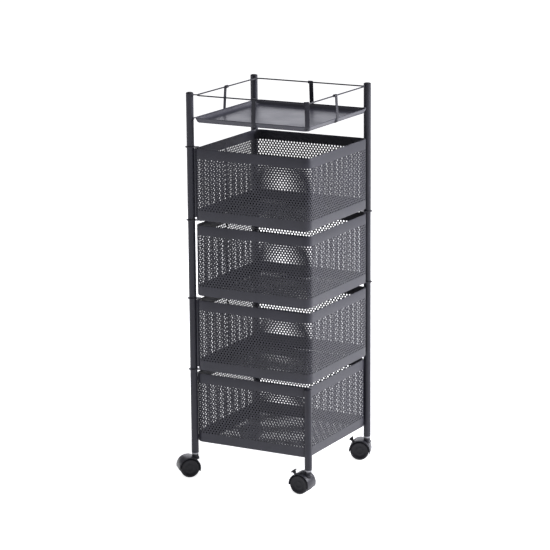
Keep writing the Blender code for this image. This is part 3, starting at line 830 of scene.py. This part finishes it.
def build_rail():
    """The wire loop over the tray, with a short stub to each tall post."""
    low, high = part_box("tray_rail")
    z = (low.z + high.z) / 2
    radius = (high.z - low.z) / 2
    half = high.x - radius - SWING_CENTRE.x
    corner_radius = BASKET_CORNER - (HALF - half)
    path = square_path(half, corner_radius, z, SWING_CENTRE, 12)
    section = [(point.x, point.y) for point in circle(radius, 0, 16)]
    shape = sweep(path, section, UP, True)
    for corner in TALL_POSTS:
        hub, away, reach = corner_way(corner, half, corner_radius, SWING_CENTRE)
        stub = [Vector((corner_radius, 0, z)), Vector((reach + 0.0006, 0, z))]
        shape.join(sweep(stub, [(u * 0.9, v * 0.9) for u, v in section], UP).moved(facing(hub, away)))
    build("tray_rail_fine", shape, "cart_frame", "rail_paint", "tray_rail", sharp=50)
    return z, half


def build_strips(rail_z, rail_half):
    """Hooked strips that lean in from the tray's rim to the rail, each with a screw in its foot."""
    tray_low, tray_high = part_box("tray")
    floor = tray_low.z + SHEET
    headings = {"front": -90, "right": 0, "back": 90, "left": 180, "corner": -45}
    middle = STRIP_GAP + STRIP_THICKNESS / 2
    for side, heading in headings.items():
        name = f"{side}_rail_strip"
        spot = middle_of(name)
        turn = math.radians(heading)
        outward = Vector((math.cos(turn), math.sin(turn), 0))
        across = Vector((-outward.y, outward.x, 0))
        distance = HALF
        hook = HOOK_RADIUS
        if side == "corner":
            distance = (HALF - BASKET_CORNER) * math.sqrt(2) + BASKET_CORNER
            hook = CORNER_HOOK_RADIUS
        along = (spot - SWING_CENTRE).dot(across)
        path = [(middle - RIM_FLARE, floor), (middle - 0.0002, tray_high.z - 0.0030)]
        path += [(middle, tray_high.z - 0.0012), (middle, tray_high.z + 0.001)]
        hook_centre = (rail_half - HALF + HOOK_RADIUS - hook, rail_z)
        path += arc(hook_centre, hook + STRIP_THICKNESS / 2, 3, 250, 28)
        points = [Vector((u, 0, v)) for u, v in path]
        section = round_rect(STRIP_THICKNESS, STRIP_WIDTH, 0.0005)
        shape = sweep(points, section, Vector((0, -1, 0)))
        place = facing(SWING_CENTRE + outward * distance + across * along, outward)
        build(f"{name}_fine", shape.moved(place), "cart_frame", "rail_paint", name)
        lean = math.atan2(RIM_FLARE, tray_high.z - 0.003 - floor)
        seat = Matrix.Translation((middle - 0.0027 + STRIP_THICKNESS / 2, 0, floor + 0.0046))
        seat = seat @ Matrix.Rotation(math.pi / 2 + lean * 0.5, 4, "Y")
        screw = screw_head(STRIP_SCREW, place @ seat)
        build(f"{name}_screw", screw, "cart_frame", "rail_paint")


# ---- casters -----------------------------------------------------------------------------------
def lathe_y(profile, steps=64, loop=False):
    """A body turned around the Y axis; profile lists (radius, y)."""
    return lathe(profile, steps, loop).moved(Matrix.Rotation(math.radians(-90), 4, "X"))


def build_wheel(name, body, place, side, radius):
    """One wheel on the axle's side (-1 or +1): a tread with two grooves and a dished disc with rings."""
    inner = WHEEL_INNER
    outer = WHEEL_OUTER
    face = [
        (0, outer - 0.0023),
        (0.0080, outer - 0.0023),
        (0.0084, outer - 0.0021),
        (0.0088, outer - 0.0023),
        (0.0165, outer - 0.0020),
        (0.0180, outer - 0.0008),
        (0.0190, outer - 0.0002),
        (0.0210, outer),
    ]
    shoulder = 0.0036
    face += [
        (radius - shoulder + u, outer - shoulder + v) for v, u in arc((0, 0), shoulder, 0, 90, 6)
    ]
    for groove in (0.0058, 0.0112):
        face += [(radius, outer - groove + 0.0005), (radius - 0.0005, outer - groove + 0.0002)]
        face += [(radius - 0.0005, outer - groove - 0.0002), (radius, outer - groove - 0.0005)]
    face += [(radius, inner + 0.0016), (radius - 0.0005, inner + 0.0005), (radius - 0.0016, inner)]
    bore_end = inner + 0.014
    face += [(AXLE_ROOM, inner), (AXLE_ROOM, bore_end), (0, bore_end)]
    shape = lathe_y([(r, side * y) for r, y in face])
    build(f"{name}_fine", shape.moved(place), body, "wheel_nylon", name, sharp=40)


def hood_shape(hub):
    """The arched cover, swept around the axle, with eased edges."""
    middle = (HOOD_INNER + HOOD_OUTER) / 2
    section = round_rect(HOOD_OUTER - HOOD_INNER, 2 * HOOD_HALF_WIDTH, 0.0009, 3)
    path = [Vector((u, 0, v)) for u, v in arc(hub, middle, -20, 186, 44)]
    return sweep(path, section, Vector((0, -1, 0)))


def caster_place(corner):
    """The caster's frame at floor level, the way from its pivot to the axle, and the wheel radius."""
    spin = JOINTS[f"{corner}_outer_wheel_spin"]
    swivel = JOINTS[f"{corner}_caster_swivel"]["pos_m"]
    heading = math.atan2(-spin["axis"][0], spin["axis"][1])
    place = Matrix.Translation((swivel[0], swivel[1], 0)) @ Matrix.Rotation(heading, 4, "Z")
    trail = math.hypot(spin["pos_m"][0] - swivel[0], spin["pos_m"][1] - swivel[1])
    return place, trail, spin["pos_m"][2]


def hood_cuts(top, trail, radius, braked):
    """The Boolean steps of a hood: web and boss, then the rooms for wheels, pin, axle and lever."""
    hub = (-trail, radius)
    at_axle = Matrix.Translation((-trail, 0, radius))
    web = [Vector((u, 0, v)) for u, v in arc(hub, WEB_RADIUS, -15, 195, 40)]
    rings = [[point + Vector((0, side, 0)) for point in web] for side in (-WEB_HALF, WEB_HALF)]
    cuts = [("UNION", Shape().skin(rings))]
    boss = [(0, top), (0.0078, top), (0.0085, top - 0.0007), (0.0085, top - 0.0040)]
    boss += [(0.0092, top - 0.0060), (0.0108, top - 0.0085), (0.0108, 0.0445), (0, 0.0445)]
    cuts.append(("UNION", lathe(boss, 48)))
    for side in (-1, 1):
        near = side * WEB_HALF
        far = side * (HOOD_HALF_WIDTH - 0.001)
        room = [(0, far), (WHEEL_ROOM, far), (WHEEL_ROOM, near), (0, near)]
        cuts.append(("DIFFERENCE", lathe_y(room, 96).moved(at_axle)))
    pin = [(0, 0.075), (PIN_ROOM, 0.075), (PIN_ROOM, 0.0485), (0, 0.0485)]
    cuts.append(("DIFFERENCE", lathe(pin, 32)))
    axle = lathe_y([(0, 0.006), (AXLE_ROOM, 0.006), (AXLE_ROOM, -0.006), (0, -0.006)], 32)
    cuts.append(("DIFFERENCE", axle.moved(at_axle)))
    if braked:
        sector = arc(hub, 0.034, 116, 160, 12) + arc(hub, 0.0095, 172, 102, 12)
        slot = [[Vector((u, side, v)) for u, v in sector] for side in (-SLOT_HALF, SLOT_HALF)]
        cuts.append(("DIFFERENCE", Shape().skin(slot)))
    return cuts


def build_stem(corner):
    """The plated stem: a plug with a broken edge, a grooved collar under the tube, and the pin."""
    name = f"{corner}_caster_stem"
    low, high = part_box(name)
    collar = high.z - 0.0240
    profile = [
        (0, high.z),
        (0.0072, high.z),
        (0.0078, high.z - 0.0006),
        (0.0078, collar - 0.0003),
        (0.0085, collar - 0.0003),
        (0.0089, collar - 0.0007),
        (0.0089, collar - 0.0021),
        (0.0080, collar - 0.0024),
        (0.0080, collar - 0.0027),
        (0.0085, collar - 0.0030),
        (0.0085, collar - 0.0043),
        (0.0080, collar - 0.0046),
        (0.0040, collar - 0.0046),
        (0.0040, low.z),
        (0, low.z),
    ]
    shape = lathe(profile, 48).moved(Matrix.Translation(POST_AXIS[corner]))
    build(f"{name}_fine", shape, "cart_frame", "zinc_steel", name)


def build_caster(corner):
    """Wheels, hood, stem and, on a braked caster, the lever, at the caster's own heading."""
    place, trail, radius = caster_place(corner)
    at_axle = place @ Matrix.Translation((-trail, 0, radius))
    for side, wheel in ((-1, "outer_wheel"), (1, "inner_wheel")):
        name = f"{corner}_{wheel}"
        build_wheel(name, f"{name}_body", at_axle, side, radius)
    name = f"{corner}_caster_hood"
    braked = f"{corner}_brake_press" in JOINTS
    cuts = hood_cuts(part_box(name)[1].z, trail, radius, braked)
    made = carved(f"{name}_fine", hood_shape((-trail, radius)), cuts, HOOD, 30)
    made.data.transform(place)
    attach(made, f"{corner}_caster", "hood_nylon", name)
    build_stem(corner)
    if braked:
        build_lever(corner, place)


def build_lever(corner, place):
    """The foot lever: an eye on its peg, an arm through the hood's slot, a gusset and a ribbed pad."""
    pivot = JOINTS[f"{corner}_brake_press"]["pos_m"]
    turned = place.to_3x3().to_4x4()
    there = Matrix.Translation(pivot) @ turned @ Matrix.Rotation(LEVER_LEAN, 4, "Y")
    name = f"{corner}_brake_lever"
    meet = 30
    outline = [(LEVER_LENGTH, -LEVER_EYE / 2), (LEVER_LENGTH, LEVER_EYE / 2)]
    outline += arc((0, 0), LEVER_EYE, meet, 360 - meet, 30)
    rings = []
    for side, inset in ((-0.0018, 0.0003), (-0.0015, 0), (0.0015, 0), (0.0018, 0.0003)):
        shrink = 1 - inset / LEVER_EYE
        rings.append([Vector((u, side, v * shrink)) for u, v in outline])
    shape = Shape().skin(rings)
    wedge = [(0.0120, -0.0026), (0.0185, -0.0062), (0.0185, 0.0042), (0.0120, 0.0026)]
    gusset = [[Vector((u, side, v)) for u, v in wedge] for side in (-0.0022, 0.0022)]
    shape.join(Shape().skin(gusset))
    shape.join(slab((0.0174, -0.0066, -0.0068), (LEVER_LENGTH, 0.0066, 0.0046), 0.0010))
    for rib in range(4):
        foot = -0.0052 + rib * 0.0026
        shape.join(slab((0.0200, -0.0056, foot), (0.0211, 0.0056, foot + 0.0012), 0.0003))
    build(f"{name}_fine", shape.moved(there), f"{corner}_brake", "lever_nylon", name)


# ---- studio ------------------------------------------------------------------------------------
COOL = (0.93, 0.93, 1.0)


def area_light(name, place, target, size, power, colour):
    """A soft rectangular light looking at a point, itself out of the picture."""
    data = bpy.data.lights.new(name, "AREA")
    data.shape = "RECTANGLE"
    data.size, data.size_y = size
    data.energy = power
    data.color = colour
    made = bpy.data.objects.new(name, data)
    made.location = place
    made.rotation_mode = "QUATERNION"
    made.rotation_quaternion = (Vector(target) - Vector(place)).to_track_quat("-Z", "Y")
    made.visible_camera = False
    bpy.context.scene.collection.objects.link(made)


def build_floor():
    """A wide pale floor that glows a little, so that it stays white to the horizon."""
    reach = 30.0
    corners = ((1, 1), (-1, 1), (-1, -1), (1, -1))
    rings = [[Vector((x * reach, y * reach, z)) for x, y in corners] for z in (-0.01, 0)]
    floor_paint = bpy.data.materials.new("studio_floor")
    floor_paint.use_nodes = True
    shader = floor_paint.node_tree.nodes["Principled BSDF"]
    shader.inputs["Base Color"].default_value = (0.92, 0.92, 0.92, 1)
    shader.inputs["Roughness"].default_value = 0.9
    shader.inputs["Specular IOR Level"].default_value = 0.0
    shader.inputs["Emission Color"].default_value = (1, 1, 1, 1)
    shader.inputs["Emission Strength"].default_value = 0.88
    mesh_object("studio_floor", Shape().skin(rings), floor_paint)


def build_lights():
    """Soft light from the right and behind, a weak fill from the front, and a low even sky."""
    world = bpy.data.worlds.new("studio")
    world.use_nodes = True
    sky = world.node_tree.nodes["Background"]
    sky.inputs["Color"].default_value = (*COOL, 1)
    sky.inputs["Strength"].default_value = 0.24
    bpy.context.scene.world = world
    middle = (0, 0, 0.5)
    area_light("right_softbox", (2.8, 1.7, 1.9), middle, (2.0, 1.8), 155, COOL)
    area_light("back_softbox", (-1.5, 2.8, 1.1), middle, (2.4, 1.8), 22, COOL)
    area_light("front_fill", (-1.8, -2.6, 1.6), middle, (1.6, 1.6), 6, COOL)
    area_light("top_softbox", (0.4, 0.4, 2.9), (0, 0, 0.9), (1.4, 1.4), 16, COOL)


def build_camera():
    """A long lens at the front right, looking a little down."""
    yaw = 0.5015356
    pitch = 0.2300918
    roll = -0.0080374
    level = math.cos(pitch)
    forward = Vector((-math.sin(yaw) * level, math.cos(yaw) * level, -math.sin(pitch)))
    right = Vector((math.cos(yaw), math.sin(yaw), 0))
    above = right.cross(forward)
    side = right * math.cos(roll) + above * math.sin(roll)
    top = above * math.cos(roll) - right * math.sin(roll)
    data = bpy.data.cameras.new("camera")
    data.lens = 161.424
    data.sensor_width = 36.0
    data.clip_end = 100
    camera = bpy.data.objects.new("camera", data)
    turn = Matrix((side, top, -forward)).transposed()
    camera.matrix_world = Matrix.Translation((2.979722, -5.424496, 1.966560)) @ turn.to_4x4()
    scene = bpy.context.scene
    scene.collection.objects.link(camera)
    scene.camera = camera
    scene.view_settings.view_transform = "Standard"


# ---- the whole cart ----------------------------------------------------------------------------
slots = {part["node"]: part["material_slot"] for part in frame["record"]["subparts"]}
for node_name, cad in frame["nodes"].items():
    cad.data.materials.clear()
    cad.data.materials.append(SLOT_FINISH[slots[node_name]])

build_posts()
build_baskets()
build_eyelets()
build_tray()
build_strips(*build_rail())
for caster_corner in CORNERS:
    build_caster(caster_corner)
build_floor()
build_lights()
build_camera()
